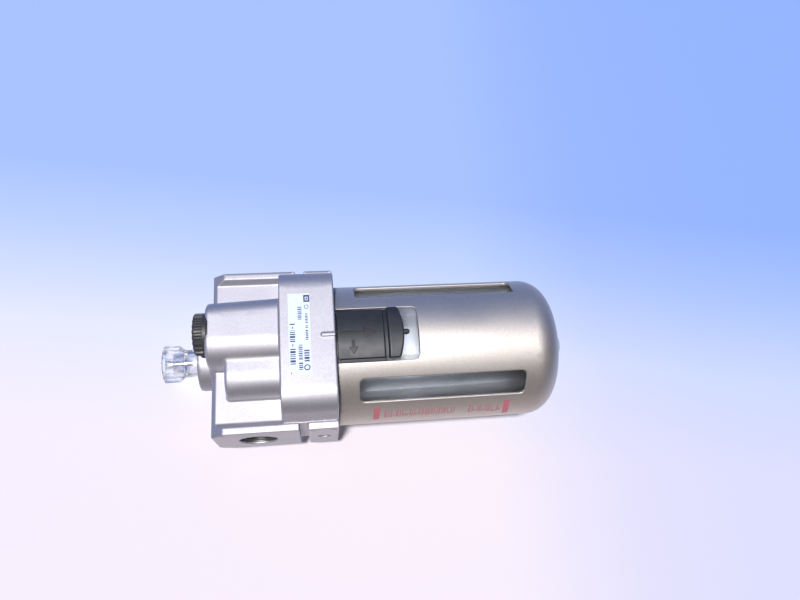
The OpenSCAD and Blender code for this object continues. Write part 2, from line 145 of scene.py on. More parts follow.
def make_world():
    """A dim room in front with cool light from +X, and the bright table's light from behind."""
    world = bpy.data.worlds.new("studio")
    bpy.context.scene.world = world
    world.use_nodes = True
    tree = world.node_tree
    tree.nodes.clear()
    place = tree.nodes.new("ShaderNodeTexCoord")
    split = tree.nodes.new("ShaderNodeSeparateXYZ")
    tree.links.new(place.outputs["Generated"], split.inputs[0])
    # The room in front: dark, with cool daylight towards +X
    room = ramp(tree, [(0.0, (0.07, 0.065, 0.065)), (0.18, (0.05, 0.05, 0.05)), (0.40, (0.065, 0.065, 0.07)),
                       (0.62, (0.06, 0.08, 0.17)), (0.76, (0.06, 0.13, 0.34)), (1.0, (0.05, 0.12, 0.34))],
                half_range(tree, split.outputs["X"]))
    # The table behind: bright where it is lit, blue towards +X
    table_light_colour = ramp(tree, [(0.0, (0.36, 0.32, 0.34)), (0.12, (0.46, 0.41, 0.44)), (0.25, (0.88, 0.80, 0.88)),
                        (0.42, (1.0, 0.94, 1.0)), (0.6, (0.85, 0.86, 1.0)), (0.75, (0.50, 0.60, 0.85)),
                        (1.0, (0.22, 0.32, 0.68))],
                 half_range(tree, split.outputs["X"]))
    behind = ramp(tree, [(0.0, (0.0, 0.0, 0.0)), (0.5, (0.0, 0.0, 0.0)), (0.68, (1.0, 1.0, 1.0)),
                         (1.0, (1.0, 1.0, 1.0))],
                  half_range(tree, split.outputs["Y"]))
    around_object = tree.nodes.new("ShaderNodeMix")
    around_object.data_type = "RGBA"
    tree.links.new(behind, around_object.inputs["Factor"])
    tree.links.new(room, around_object.inputs["A"])
    tree.links.new(table_light_colour, around_object.inputs["B"])
    along = ramp(tree, [(0.0, (0.45, 0.62, 1.0)), (0.3, (1.0, 1.0, 1.0)), (0.72, (1.0, 1.0, 1.0)),
                        (1.0, (0.35, 0.55, 1.0))],
                 half_range(tree, split.outputs["Z"]))
    lit = tree.nodes.new("ShaderNodeBackground")
    tree.links.new(multiply(tree, around_object.outputs["Result"], along), lit.inputs["Color"])
    lit.inputs["Strength"].default_value = WORLD_STRENGTH
    seen = tree.nodes.new("ShaderNodeBackground")
    seen.inputs["Color"].default_value = (*BACKDROP, 1)
    path = tree.nodes.new("ShaderNodeLightPath")
    choose = tree.nodes.new("ShaderNodeMixShader")
    tree.links.new(path.outputs["Is Camera Ray"], choose.inputs["Fac"])
    tree.links.new(lit.outputs[0], choose.inputs[1])
    tree.links.new(seen.outputs[0], choose.inputs[2])
    out = tree.nodes.new("ShaderNodeOutputWorld")
    tree.links.new(choose.outputs[0], out.inputs["Surface"])


LAMP_TOWARD = Vector((-0.155, -0.98, 0.13))
LAMP_STRENGTH = 4.5
LAMP_WIDTH = math.radians(5.5)


def make_lamp():
    """One soft-edged lamp in front of the object, a little towards the inlet and the top."""
    data = bpy.data.lights.new("lamp", "SUN")
    data.energy = LAMP_STRENGTH
    data.angle = LAMP_WIDTH
    data.color = (1.0, 0.98, 1.0)
    light = bpy.data.objects.new("lamp", data)
    light.rotation_euler = LAMP_TOWARD.to_track_quat("Z", "Y").to_euler()
    bpy.context.scene.collection.objects.link(light)


def make_table():
    """The pale table behind the object, seen only from its front. Its broad colour gradient is painted light:
    bluish and warm light across it, painted shade towards the bowl's end, and a faint painted glow.
    """
    reach = 1.6
    gap = 0.4 * MM
    y = cad_box[1][1] + gap
    mesh = bpy.data.meshes.new("table")
    corners = [(AXIS_X + sx * reach, y, sz * reach) for sx, sz in ((-1, -1), (1, -1), (1, 1), (-1, 1))]
    mesh.from_pydata(corners, [], [(0, 1, 2, 3)])
    table = bpy.data.objects.new("table", mesh)
    bpy.context.scene.collection.objects.link(table)
    material = bpy.data.materials.new("table_paper_painted_light")
    material.use_nodes = True
    tree = material.node_tree
    shader = tree.nodes["Principled BSDF"]
    shader.inputs["Roughness"].default_value = 0.8
    shader.inputs["Specular IOR Level"].default_value = 0.1
    where = tree.nodes.new("ShaderNodeTexCoord")
    split = tree.nodes.new("ShaderNodeSeparateXYZ")
    tree.links.new(where.outputs["Object"], split.inputs[0])

    def along(weights, offset):
        """offset + x * weights[0] + z * weights[1], in metres."""
        first = tree.nodes.new("ShaderNodeMath")
        first.operation = "MULTIPLY_ADD"
        first.inputs[1].default_value = weights[0]
        first.inputs[2].default_value = offset
        tree.links.new(split.outputs["X"], first.inputs[0])
        second = tree.nodes.new("ShaderNodeMath")
        second.operation = "MULTIPLY_ADD"
        second.inputs[1].default_value = weights[1]
        tree.links.new(split.outputs["Z"], second.inputs[0])
        tree.links.new(first.outputs[0], second.inputs[2])
        return second.outputs[0]

    # Painted light: the table is pink-white towards -X and turns blue towards +X, as the light falls on it
    up = ramp(tree, [(0.0, (1.0, 0.905, 0.93)), (0.38, (1.0, 0.905, 0.94)), (0.47, (0.93, 0.885, 0.955)),
                     (0.56, (0.86, 0.87, 0.955)), (0.655, (0.70, 0.77, 0.955)), (0.745, (0.56, 0.68, 0.955)),
                     (0.89, (0.42, 0.57, 0.955)), (1.0, (0.42, 0.57, 0.955))],
              along((3.6, -0.5), 0.36))
    # Painted shade: the table is darker and bluer towards the bowl's end
    side = ramp(tree, [(0.398, (0.62, 0.635, 0.64)), (0.572, (0.52, 0.56, 0.64)), (0.72, (0.49, 0.545, 0.64)),
                       (0.9, (0.48, 0.54, 0.64))],
                along((0.0, -2.6), 0.12))
    table_light_colour = multiply(tree, up, side)
    tree.links.new(table_light_colour, shader.inputs["Base Color"])
    # Painted glow: the table gives off a little of its painted colour as light of its own
    tree.links.new(table_light_colour, shader.inputs["Emission Color"])
    shader.inputs["Emission Strength"].default_value = 0.04
    behind = tree.nodes.new("ShaderNodeNewGeometry")
    clear = tree.nodes.new("ShaderNodeBsdfTransparent")
    choose = tree.nodes.new("ShaderNodeMixShader")
    tree.links.new(behind.outputs["Backfacing"], choose.inputs["Fac"])
    tree.links.new(shader.outputs[0], choose.inputs[1])
    tree.links.new(clear.outputs[0], choose.inputs[2])
    tree.links.new(choose.outputs[0], tree.nodes["Material Output"].inputs["Surface"])
    mesh.materials.append(material)
    table.visible_diffuse = False
    table.visible_glossy = False
    table.visible_shadow = False


# ---------------------------------------------------------------- materials

def new_material(name, colour, roughness, metallic=0.0):
    """A material with its node tree and its main shader."""
    material = bpy.data.materials.new(name)
    material.use_nodes = True
    shader = material.node_tree.nodes["Principled BSDF"]
    shader.inputs["Base Color"].default_value = (*colour, 1)
    shader.inputs["Roughness"].default_value = roughness
    shader.inputs["Metallic"].default_value = metallic
    return material, material.node_tree, shader


def noise(tree, scale, detail=2.0, stretch=(1, 1, 1)):
    """Noise in metres: scale is the number of features in a metre."""
    where = tree.nodes.new("ShaderNodeTexCoord")
    mapping = tree.nodes.new("ShaderNodeMapping")
    mapping.inputs["Scale"].default_value = stretch
    texture = tree.nodes.new("ShaderNodeTexNoise")
    texture.inputs["Scale"].default_value = scale
    texture.inputs["Detail"].default_value = detail
    tree.links.new(where.outputs["Object"], mapping.inputs["Vector"])
    tree.links.new(mapping.outputs[0], texture.inputs["Vector"])
    return texture.outputs["Fac"]


def between(tree, factor, low, high):
    """Maps a 0..1 factor on to low..high."""
    node = tree.nodes.new("ShaderNodeMapRange")
    node.inputs["From Min"].default_value = 0.3
    node.inputs["From Max"].default_value = 0.7
    node.inputs["To Min"].default_value = low
    node.inputs["To Max"].default_value = high
    tree.links.new(factor, node.inputs["Value"])
    return node.outputs[0]


def tone(tree, colour, factor, low, high):
    """The colour made darker or brighter by a factor."""
    mix = tree.nodes.new("ShaderNodeMix")
    mix.data_type = "RGBA"
    mix.inputs["A"].default_value = (*[min(1.0, c * low) for c in colour], 1)
    mix.inputs["B"].default_value = (*[min(1.0, c * high) for c in colour], 1)
    tree.links.new(between(tree, factor, 0, 1), mix.inputs["Factor"])
    return mix.outputs["Result"]


def bump(tree, shader, height, depth_mm):
    """Relief of the given depth on the shader's surface."""
    node = tree.nodes.new("ShaderNodeBump")
    node.inputs["Strength"].default_value = 1.0
    node.inputs["Distance"].default_value = depth_mm * MM
    tree.links.new(height, node.inputs["Height"])
    tree.links.new(node.outputs[0], shader.inputs["Normal"])


def metallic_paint(name, colour, roughness, metallic):
    """Satin metallic paint: a fine orange-peel grain, flakes and slow changes of sheen."""
    material, tree, shader = new_material(name, colour, roughness, metallic)
    fine = noise(tree, 2600, 3)
    flakes = noise(tree, 1430, 4)
    cloudy = noise(tree, 45, 2)
    tree.links.new(tone(tree, colour, flakes, 0.93, 1.07), shader.inputs["Base Color"])
    blend = tree.nodes.new("ShaderNodeMath")
    blend.operation = "ADD"
    tree.links.new(between(tree, fine, -0.05, 0.05), blend.inputs[0])
    tree.links.new(between(tree, cloudy, roughness - 0.03, roughness + 0.03), blend.inputs[1])
    tree.links.new(blend.outputs[0], shader.inputs["Roughness"])
    bump(tree, shader, fine, 0.02)
    return material


def moulded_plastic(name, colour, roughness):
    """Moulded plastic: a fine moulding grain, with uneven colour and gloss."""
    material, tree, shader = new_material(name, colour, roughness)
    fine = noise(tree, 1800, 3)
    tree.links.new(tone(tree, colour, noise(tree, 120, 3), 0.85, 1.2), shader.inputs["Base Color"])
    tree.links.new(between(tree, noise(tree, 220, 3), roughness - 0.05, roughness + 0.06),
                   shader.inputs["Roughness"])
    bump(tree, shader, fine, 0.012)
    return material


def rubber(name):
    """Matt black nitrile rubber."""
    material, tree, shader = new_material(name, (0.02, 0.02, 0.022), 0.5)
    tree.links.new(between(tree, noise(tree, 400, 3), 0.4, 0.62), shader.inputs["Roughness"])
    bump(tree, shader, noise(tree, 3000, 2), 0.01)
    return material


def turned_steel(name):
    """Bright steel with fine turning marks."""
    material, tree, shader = new_material(name, (0.62, 0.62, 0.64), 0.24, 1.0)
    tree.links.new(between(tree, noise(tree, 900, 2, (1, 1, 8)), 0.16, 0.34), shader.inputs["Roughness"])
    bump(tree, shader, noise(tree, 2600, 2, (1, 1, 6)), 0.006)
    return material


def sintered_bronze(name):
    """Porous bronze: small round grains with dark gaps, with painted shade in the gaps and painted light on
    the grains' middles.
    """
    colour = (0.42, 0.27, 0.13)
    material, tree, shader = new_material(name, colour, 0.5, 0.9)
    cells = tree.nodes.new("ShaderNodeTexVoronoi")
    cells.inputs["Scale"].default_value = 2200
    where = tree.nodes.new("ShaderNodeTexCoord")
    tree.links.new(where.outputs["Object"], cells.inputs["Vector"])
    # Painted light and shade: each grain is brighter in its middle and darker towards its edge
    tree.links.new(tone(tree, colour, cells.outputs["Distance"], 1.25, 0.5), shader.inputs["Base Color"])
    bump(tree, shader, cells.outputs["Distance"], -0.12)
    return material


def clear_plastic(name, tint, body, ior, haze):
    """Clear polycarbonate: body is the share that bends light, and the rest lets it straight through.
    Haze is the roughness of that rest's surface gloss."""
    roughness = 0.06
    material, tree, shader = new_material(name, tint, roughness)
    shader.inputs["Transmission Weight"].default_value = 1
    shader.inputs["IOR"].default_value = ior
    tree.links.new(between(tree, noise(tree, 160, 3), roughness * 0.6, roughness * 1.6),
                   shader.inputs["Roughness"])
    bump(tree, shader, noise(tree, 90, 2), 0.02)
    path = tree.nodes.new("ShaderNodeLightPath")
    clear = tree.nodes.new("ShaderNodeBsdfTransparent")
    clear.inputs["Color"].default_value = (0.95, 0.965, 0.98, 1)
    hazy = tree.nodes.new("ShaderNodeMixShader")
    gloss = tree.nodes.new("ShaderNodeBsdfAnisotropic")
    gloss.inputs["Roughness"].default_value = haze
    fresnel = tree.nodes.new("ShaderNodeFresnel")
    fresnel.inputs["IOR"].default_value = ior
    tree.links.new(fresnel.outputs[0], hazy.inputs["Fac"])
    tree.links.new(clear.outputs[0], hazy.inputs[1])
    tree.links.new(gloss.outputs[0], hazy.inputs[2])
    thin = tree.nodes.new("ShaderNodeMixShader")
    thin.inputs["Fac"].default_value = body
    tree.links.new(hazy.outputs[0], thin.inputs[1])
    tree.links.new(shader.outputs[0], thin.inputs[2])
    choose = tree.nodes.new("ShaderNodeMixShader")
    tree.links.new(path.outputs["Is Shadow Ray"], choose.inputs["Fac"])
    tree.links.new(thin.outputs[0], choose.inputs[1])
    tree.links.new(clear.outputs[0], choose.inputs[2])
    tree.links.new(choose.outputs[0], tree.nodes["Material Output"].inputs["Surface"])
    return material


def printed_ink(name, colour, roughness):
    """A printed film or ink with a slightly uneven tone."""
    material, tree, shader = new_material(name, colour, roughness)
    tree.links.new(tone(tree, colour, noise(tree, 2500, 3), 0.85, 1.2), shader.inputs["Base Color"])
    bump(tree, shader, noise(tree, 3000, 2), 0.004)
    return material


bpy.context.scene.view_settings.view_transform = "Standard"
make_camera()
make_world()
make_lamp()
make_table()

CAST = metallic_paint("cast_silver_paint", (0.50, 0.49, 0.52), 0.61, 0.97)
GUARD = metallic_paint("champagne_paint", (0.56, 0.52, 0.48), 0.55, 0.97)
# Painted shade: the bores' bare metal is made near black, so the inside of the ports reads as shaded
BORE_PAINTED_SHADE = metallic_paint("bore_metal_painted_shade", (0.17, 0.17, 0.17), 0.5, 0.9)
GUARD_INSIDE = metallic_paint("champagne_paint_inside", (0.66, 0.65, 0.65), 0.6, 0.1)
BLACK = moulded_plastic("black_plastic", (0.016, 0.018, 0.022), 0.48)
PLUG_BLACK = moulded_plastic("plug_plastic", (0.030, 0.030, 0.032), 0.48)
NUB = moulded_plastic("nub_plastic", (0.26, 0.31, 0.42), 0.32)
PALE = moulded_plastic("pale_plastic", (0.62, 0.61, 0.57), 0.42)
RUBBER = rubber("nitrile_rubber")
STEEL = turned_steel("turned_steel")
BRONZE = sintered_bronze("sintered_bronze")
CLEAR = clear_plastic("clear_polycarbonate", (0.99, 0.99, 1.0), body=0.5, ior=1.45, haze=0.1)
BOWL = clear_plastic("bowl_polycarbonate", (0.97, 0.98, 0.99), body=0.35, ior=1.5, haze=0.36)
FILM = printed_ink("label_film", (0.60, 0.70, 0.84), 0.5)
INK = printed_ink("label_ink", (0.02, 0.03, 0.09), 0.5)
RED_INK = printed_ink("red_ink", (0.50, 0.13, 0.16), 0.5)
FADED_RED = printed_ink("worn_red_ink", (0.42, 0.21, 0.22), 0.5)
ARROW = moulded_plastic("arrow_plastic", (0.010, 0.011, 0.014), 0.5)

NODE_MATERIAL = {
    "body": CAST, "bowl_guard": GUARD, "bowl": BOWL, "sight_dome": CLEAR, "feed_knob": CLEAR,
    "lock_button": BLACK, "fill_plug": PLUG_BLACK, "drip_nozzle": PALE, "damper_retainer": PALE,
    "bowl_check_cap": PALE, "oil_tube": PALE, "oil_strainer": BRONZE, "rating_label": FILM,
    "dome_seal": RUBBER, "fill_plug_seal": RUBBER, "retainer_seal": RUBBER, "riser_seal": RUBBER,
    "bowl_seal": RUBBER, "damper": RUBBER,
}
for name, node in nodes.items():
    node.data.materials.clear()
    node.data.materials.append(NODE_MATERIAL.get(name, STEEL))


# ---------------------------------------------------------------- distance fields, millimetres
# Every field takes x, y, z measured from the bowl axis and gives the distance to the surface,
# negative inside.

def box2(u, v, cu, cv, hu, hv, r=0.0):
    """Rounded rectangle of half sizes hu, hv."""
    a = np.abs(u - cu) - (hu - r)
    b = np.abs(v - cv) - (hv - r)
    return np.hypot(np.maximum(a, 0), np.maximum(b, 0)) + np.minimum(np.maximum(a, b), 0) - r


def slab(flat, w, low, high, edge=0.0):
    """An outline made solid between two levels, with rounded rims."""
    a = flat + edge
    b = np.abs(w - (low + high) / 2) - (high - low) / 2 + edge
    return np.hypot(np.maximum(a, 0), np.maximum(b, 0)) + np.minimum(np.maximum(a, b), 0) - edge


def join(a, b, r):
    """Union with a fillet of radius r."""
    return np.maximum(r, np.minimum(a, b)) - np.hypot(np.maximum(r - a, 0), np.maximum(r - b, 0))


def meet(a, b, r):
    """Intersection with an edge rounded by r."""
    return np.minimum(-r, np.maximum(a, b)) + np.hypot(np.maximum(r + a, 0), np.maximum(r + b, 0))


def cut(a, b, r):
    """a without b, with the edge rounded by r."""
    return meet(a, -b, r)


def surface(name, field, low, high, step, adaptivity, soften=0.12):
    """Meshes a field inside a box, pulls the points on to the surface and gives it the field's normals.
    Soften is the distance over which the normals are taken."""
    counts = [int(math.ceil((b - a) / step)) + 1 for a, b in zip(low, high)]
    x, y, z = (a + step * np.arange(n) for a, n in zip(low, counts))
    x, y, z = x[:, None, None], y[None, :, None], z[None, None, :]
    values = np.broadcast_to(field(x, y, z), counts)
    band = 3 * step
    grid = openvdb.FloatGrid(band)
    grid.copyFromArray(np.ascontiguousarray(np.clip(values, -band, band), dtype=np.float32))
    points, triangles, quads = grid.convertToPolygons(isovalue=0.0, adaptivity=adaptivity)
    points = points.astype(np.float64) * step + np.array(low)

    def gradient(p, e):
        """The field's direction of growth at each point, and how steep it is there."""
        parts = []
        for axis in range(3):
            d = np.zeros(3)
            d[axis] = e
            parts.append((field(*(p + d).T) - field(*(p - d).T)) / (2 * e))
        g = np.stack(parts, 1)
        slope = np.maximum(np.linalg.norm(g, axis=1, keepdims=True), 0.3)
        return g / slope, slope

    for _ in range(3):
        away = np.clip(field(*points.T), -step, step)[:, None]
        direction, slope = gradient(points, 0.02)
        points -= away / slope * direction
    normals, slope = gradient(points, soften)
    faces = [tuple(t) for t in triangles.tolist()] + [tuple(q) for q in quads.tolist()]
    a, b, c = (points[quads[:, i]] for i in range(3))
    outward = (np.cross(b - a, c - a) * normals[quads[:, 0]]).sum()
    if outward < 0:
        faces = [f[::-1] for f in faces]
    mesh = bpy.data.meshes.new(name)
    mesh.from_pydata((points * MM + np.array((AXIS_X, 0, 0))).tolist(), [], faces)
    mesh.validate()
    mesh.polygons.foreach_set("use_smooth", np.ones(len(mesh.polygons), dtype=bool))
    if len(mesh.vertices) == len(normals):
        mesh.normals_split_custom_set_from_vertices(normals.tolist())
    piece = bpy.data.objects.new(name, mesh)
    bpy.context.scene.collection.objects.link(piece)
    return piece


def from_points(name, points, faces):
    """A piece from points in millimetres, measured from the bowl axis."""
    mesh = bpy.data.meshes.new(name)
    mesh.from_pydata([row_point(*p) for p in points], [], faces)
    piece = bpy.data.objects.new(name, mesh)
    bpy.context.scene.collection.objects.link(piece)
    return piece


def two_finishes(piece, main, other, chosen):
    """Gives a piece its main finish, and the other one where chosen(x, y, z) holds at a face's centre."""
    piece.data.materials.append(main)
    piece.data.materials.append(other)
    for face in piece.data.polygons:
        x, y, z = ((c - o) / MM for c, o in zip(face.center, (AXIS_X, 0, 0)))
        if chosen(x, y, z):
            face.material_index = 1


def placed(piece, body, slot, material, *replaced):
    """Gives a new piece its finish and its CAD body."""
    if not piece.data.materials:
        piece.data.materials.append(material)
    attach(piece, body)
    if replaced:
        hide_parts(*replaced)
    return piece


# ---------------------------------------------------------------- the casting

# Port block: half width between the port faces, flange lips and the web between them
FACE_X = 35.0
LIP = 2.9
SHOULDER = 1.9
FLANGE_HALF = 16.0
WEB_HALF = 13.3
BLOCK_TOP = 17.8
BEVEL_DEPTH, BEVEL_HEIGHT = 4.2, 5.0
GROOVE_X, GROOVE_Z, GROOVE_HALF = 32, -19.3, 1.9
# Columns: middle along X, half width, depth from the bowl axis and top. They sink into the collar, and
# the two in front end at the split, where the one at the back starts
COLUMN_SUNK, COLUMN_SPLIT = 2, 2
COLUMN_DRAFT = 0.045
TALL_X, TALL_HALF, TALL_DEPTH, TALL_TOP = 4.8, 13.0, 30, 18.5
SHORT_X, SHORT_HALF, SHORT_DEPTH, SHORT_TOP = -0.65, 20.25, 25.5, 11.2
BACK_HALF = 19
COLUMN_ROUND = 1.6
# Collar around the bowl's mouth, with the alignment rib on its front
COLLAR_TOP, COLLAR_BOTTOM = -10.9, -33.5
COLLAR_HALF, COLLAR_FRONT, COLLAR_SIDE, COLLAR_CORNER = 32, 31.2, 33.67, 7.5
DRAFT = math.radians(10)
RIB_Y, RIB_HALF, RIB_HEIGHT, RIB_OUT = -30.55, 0.75, 2.85, -31.7
# Dome boss, bowl socket, bores and the seat of the oil fill plug
BOSS_R, BOSS_TOP = 12.3, 24.2
SOCKET_R, SOCKET_TOP = 28.5, -14.5
BORE_R, BORE_DEPTH, PASSAGE_R = 7.96, 12, 6.9
DIMPLE_Z, DIMPLE_R, DIMPLE_DEPTH = -27.5, 2.5, 0.5
PLUG_X, PLUG_Y, PLUG_R, PLUG_SEAT = 5.7, -21.4, 8.7, 17.4


def casting_field(x, y, z):
    """The die-cast body."""
    side = FACE_X - np.abs(x)
    deep = np.abs(y)
    # Flange lips with their sloped shoulders
    slope = np.hypot(FLANGE_HALF - WEB_HALF, SHOULDER)
    wedge = ((side - LIP) * (FLANGE_HALF - WEB_HALF) + (deep - FLANGE_HALF) * SHOULDER) / slope
    lip = meet(meet(-side, deep - FLANGE_HALF, 0.3), wedge, 0.35)
    web = np.maximum(deep - WEB_HALF, -side)
    block = slab(join(lip, web, 0.35), z, COLLAR_BOTTOM, BLOCK_TOP, 0.3)
    bevel = ((deep - FLANGE_HALF + BEVEL_DEPTH) * BEVEL_HEIGHT + (z - BLOCK_TOP) * BEVEL_DEPTH)
    block = meet(block, bevel / math.hypot(BEVEL_DEPTH, BEVEL_HEIGHT), 0.25)
    groove = np.maximum(GROOVE_X - np.abs(x), np.abs(z - GROOVE_Z) - GROOVE_HALF)
    block = cut(block, groove, 0.25)
    # Columns in front of the web and one behind it
    root = COLLAR_TOP - COLUMN_SUNK
    spread = 0.5 * COLUMN_DRAFT * (TALL_TOP - z)
    corner = np.where(x > 3, 7.0, 10.0)
    tall = box2(x, y, TALL_X + spread, 0, TALL_HALF + spread, TALL_DEPTH, corner)
    tall = slab(tall, z, root, TALL_TOP, COLUMN_ROUND)
    short = box2(x, y, SHORT_X, 0, SHORT_HALF, SHORT_DEPTH, 9)
    short = slab(short, z, root, SHORT_TOP, COLUMN_ROUND)
    back = slab(box2(x, y, 0, 0, BACK_HALF, SHORT_DEPTH, 9), z, root, SHORT_TOP, COLUMN_ROUND)
    columns = np.maximum(join(tall, short, 0.9), y - COLUMN_SPLIT)
    columns = np.minimum(columns, np.maximum(back, COLUMN_SPLIT - y))
    block = join(block, columns, 0.9)
    # Collar, with its alignment rib
    draft = np.abs(x) * math.cos(DRAFT) + deep * math.sin(DRAFT) - COLLAR_SIDE
    outline = meet(meet(deep - COLLAR_FRONT, draft, COLLAR_CORNER), np.abs(x) - COLLAR_HALF, 1.0)
    collar = slab(outline, z, COLLAR_BOTTOM, COLLAR_TOP, 0.7)
    block = join(block, collar, 0.7)
    rib = slab(box2(x, z, 0, RIB_Y, RIB_HALF, RIB_HEIGHT, 0.4), y, RIB_OUT, -30, 0.3)
    block = join(block, rib, 0.4)
    # Boss under the sight dome
    axis_r = np.hypot(x, y)
    boss = slab(axis_r - BOSS_R, z, BLOCK_TOP - 2, BOSS_TOP, 1.0)
    block = join(block, boss, 0.8)
    # Ports, passage, bowl socket and the holes of the top fittings
    port_r = np.hypot(y, z)
    mouth = np.maximum(port_r - BORE_R, FACE_X - BORE_DEPTH - np.abs(x))
    block = cut(block, mouth, 0.35)
    block = cut(block, np.maximum(port_r - PASSAGE_R, np.abs(x) - FACE_X + BORE_DEPTH - 1), 0.2)
    dimple = np.maximum(np.hypot(y, z - DIMPLE_Z) - DIMPLE_R, FACE_X - DIMPLE_DEPTH - np.abs(x))
    block = cut(block, dimple, 0.2)
    block = cut(block, slab(axis_r - SOCKET_R, z, COLLAR_BOTTOM - 2, SOCKET_TOP), 0.4)
    block = cut(block, slab(axis_r - 9, z, SOCKET_TOP - 1, 7.5), 0.3)
    block = cut(block, slab(axis_r - 6.3, z, 13, 26), 0.25)
    plug_r = np.hypot(x - PLUG_X, y - PLUG_Y)
    block = cut(block, slab(plug_r - PLUG_R - 0.15, z, PLUG_SEAT, 30), 0.15)
    block = cut(block, slab(plug_r - 8.1, z, PLUG_SEAT - 1.5, 30), 0.15)
    return cut(block, slab(plug_r - 6.3, z, 6, 30), 0.15)


casting = surface("body_casting", casting_field, (-35.6, -32.4, -34.2), (35.6, 31.9, 24.9), 0.45, 0.01)
# The faces inside the port bores take the dark metal of painted shade
two_finishes(casting, CAST, BORE_PAINTED_SHADE,
             lambda x, y, z: math.hypot(y, z) < BORE_R + 0.1 and abs(x) < FACE_X - 0.4)
placed(casting, "housing", "cast_body", CAST, "body")


# ---------------------------------------------------------------- the guard

GUARD_R = 30.6
GUARD_WALL = 1.3
GUARD_BOTTOM = -133.8
KNUCKLE_R = 11.6
CROWN_R = 60.8
GUARD_TOP = -33.9
WINDOW_ANGLE = math.radians(46)
WINDOW_HALF, WINDOW_MIDDLE, WINDOW_REACH = 5.6, -77.5, 35
NOTCH_HALF, NOTCH_MIDDLE, NOTCH_REACH = 11.5, -37.3, 30
NUB_HOLE_R = 4.6


def end_outline(r, z, radius, knuckle, crown):
    """Distance to the domed outline of the guard: wall, knuckle and crown, with shared centres."""
    crown_z = CROWN_R + GUARD_BOTTOM
    knuckle_x = GUARD_R - KNUCKLE_R
    drop = math.sqrt((CROWN_R - KNUCKLE_R) ** 2 - knuckle_x ** 2)
    knuckle_z = crown_z - drop
    wall = r - radius
    bend = np.hypot(r - knuckle_x, z - knuckle_z) - knuckle
    dome = np.hypot(r, z - crown_z) - crown
    in_crown = (r * drop < knuckle_x * (crown_z - z)) & (z < knuckle_z)
    return np.where(in_crown, dome, np.where(z < knuckle_z, bend, wall))


def guard_field(x, y, z):
    """The guard's shell, with its two front windows, the button's notch and the hole for the nub."""
    r = np.hypot(x, y)
    outer = end_outline(r, z, GUARD_R, KNUCKLE_R, CROWN_R)
    shell = np.abs(outer + GUARD_WALL / 2) - GUARD_WALL / 2
    shell = meet(shell, z - GUARD_TOP, 0.3)
    for angle in (-WINDOW_ANGLE, WINDOW_ANGLE):
        across = x * math.cos(angle) + y * math.sin(angle)
        out = -x * math.sin(angle) + y * math.cos(angle)
        window = box2(across, z, 0, WINDOW_MIDDLE, WINDOW_HALF, WINDOW_REACH, 2.2)
        window = np.maximum(window, out + 10)
        shell = cut(shell, window, 0.4)
    notch = np.maximum(box2(x, z, 0, NOTCH_MIDDLE, NOTCH_HALF, NOTCH_REACH, 2.6), y + 10)
    shell = cut(shell, notch, 0.35)
    return cut(shell, r - NUB_HOLE_R + 0 * z, 0.3)


guard = surface("guard_shell", guard_field, (-31.2, -31.2, -134.4), (31.2, 31.2, -33.3), 0.5, 0.01)
two_finishes(guard, GUARD, GUARD_INSIDE, lambda x, y, z: end_outline(
    math.hypot(x, y), z, GUARD_R, KNUCKLE_R, CROWN_R) < -GUARD_WALL * 0.8)
placed(guard, "bowl_unit", "guard_metal", GUARD, "bowl_guard")


NUB_OUT, NUB_IN = 4.5, 4.22
NUB_LOW, NUB_HIGH = -137.18, -133.9


def nub_field(x, y, z):
    """A thin skin around the nub that the bowl shows below the guard."""
    r = np.hypot(x, y)
    return cut(slab(r - NUB_OUT, z, NUB_LOW, NUB_HIGH, 0.5), r - NUB_IN + 0 * z, 0.03)


nub = surface("nub_skin", nub_field, (-5, -5, -137.7), (5, 5, -133.4), 0.12, 0.01, 0.05)
placed(nub, "bowl_unit", "clear_plastic", NUB)


# ---------------------------------------------------------------- port threads

def thread_ridge(name, side):
    """The ridge of one port thread, wound along X inside the bore, with fading ends."""
    pitch, root, crest, length = 1.337, 8.06, 7.38, 11.4
    per_turn = 72
    steps = int(length / pitch * per_turn)
    half = pitch * 0.44
    points = []
    for i in range(steps + 1):
        angle = 2 * math.pi * i / per_turn
        out = FACE_X - 0.5 - length * i / steps
        fade = min(1.0, 6 * i / steps, 6 * (steps - i) / steps)
        top = root - (root - crest) * fade
        for r, shift in ((root, half), (top, half * 0.18), (top, -half * 0.18), (root, -half)):
            points.append((side * (out + shift), r * math.cos(angle), r * math.sin(angle)))
    faces = []
    for i in range(steps):
        a, b = 4 * i, 4 * i + 4
        faces += [(a + k, a + (k + 1) % 4, b + (k + 1) % 4, b + k) for k in range(4)]
    faces += [(3, 2, 1, 0), tuple(4 * steps + k for k in range(4))]
    if side > 0:
        faces = [f[::-1] for f in faces]
    # The thread takes the bores' painted shade
    placed(from_points(name, points, faces), "housing", "cast_body", BORE_PAINTED_SHADE)


thread_ridge("inlet_thread", -1)
thread_ridge("outlet_thread", 1)


# ---------------------------------------------------------------- the lock button

def around(x, y):
    """Radius and the angle from the front, positive towards the outlet."""
    return np.hypot(x, y), np.arctan2(x, -y)


def front_plate(x, y, z, r0, r1, half_angle, z0, z1, corner, edge):
    """A curved plate on the front of the bowl, between two radii."""
    r, angle = around(x, y)
    flat = box2(angle * r1, z, 0, (z0 + z1) / 2, half_angle * r1, (z1 - z0) / 2, corner)
    return slab(flat, r, r0, r1, edge)


BUTTON_IN, BUTTON_OUT = 28.52, 31.6
BUTTON_ANGLE = math.radians(19.2)
PANEL_TOP, PANEL_BOTTOM = -34.1, -53.1
GRIP_OUT, GRIP_TOP, GRIP_BOTTOM, GRIP_CURVE = 32.75, -54.7, -61.2, 32
TAB_Y, TAB_END, TAB_R = -30.2, -62.65, 1.15
POCKET_HALF, POCKET_Y, POCKET_MIDDLE, POCKET_REACH = 1.5, -30.85, -46.7, 9.5


